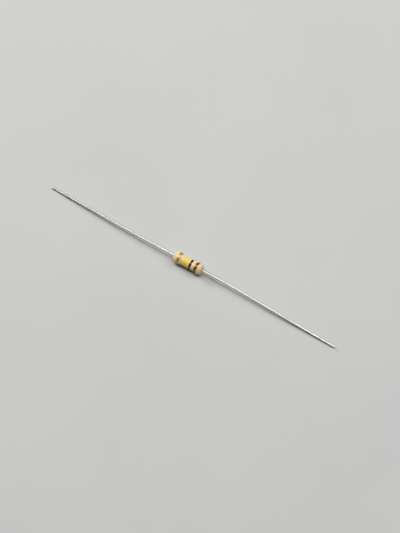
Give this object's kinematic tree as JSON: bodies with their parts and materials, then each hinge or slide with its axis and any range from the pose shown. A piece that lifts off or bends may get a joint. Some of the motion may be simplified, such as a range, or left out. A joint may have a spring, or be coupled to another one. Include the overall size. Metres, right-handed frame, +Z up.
{
  "type": "axial resistor",
  "caption": "Axial film resistor with a dog-bone lacquered body, painted colour bands and a straight wire lead at each end for soldering into a circuit.",
  "frame": {"origin": "on the surface that the resistor lies on, below the middle of its body", "axes": "+X along the body from the tolerance band towards the first band, +Z up, +Y away from a viewer who reads the first band on the right"},
  "size_m": [0.062, 0.0024, 0.0024],
  "materials": {
    "ceramic": "matte",
    "film": "satin",
    "cap_steel": "satin",
    "tinned_wire": "satin",
    "lacquer": "gloss",
    "ink_brown": "gloss",
    "ink_black": "gloss",
    "ink_yellow": "gloss",
    "ink_gold": "gloss"
  },
  "bodies": {
    "root": {"ceramic_core": "ceramic", "carbon_film": "film", "end_cap_left": "cap_steel", "end_cap_right": "cap_steel", "lead_left": "tinned_wire", "lead_right": "tinned_wire", "lacquer_coat": "lacquer", "band_brown": "ink_brown", "band_black": "ink_black", "band_yellow": "ink_yellow", "band_gold": "ink_gold"}
  },
  "joints": []
}
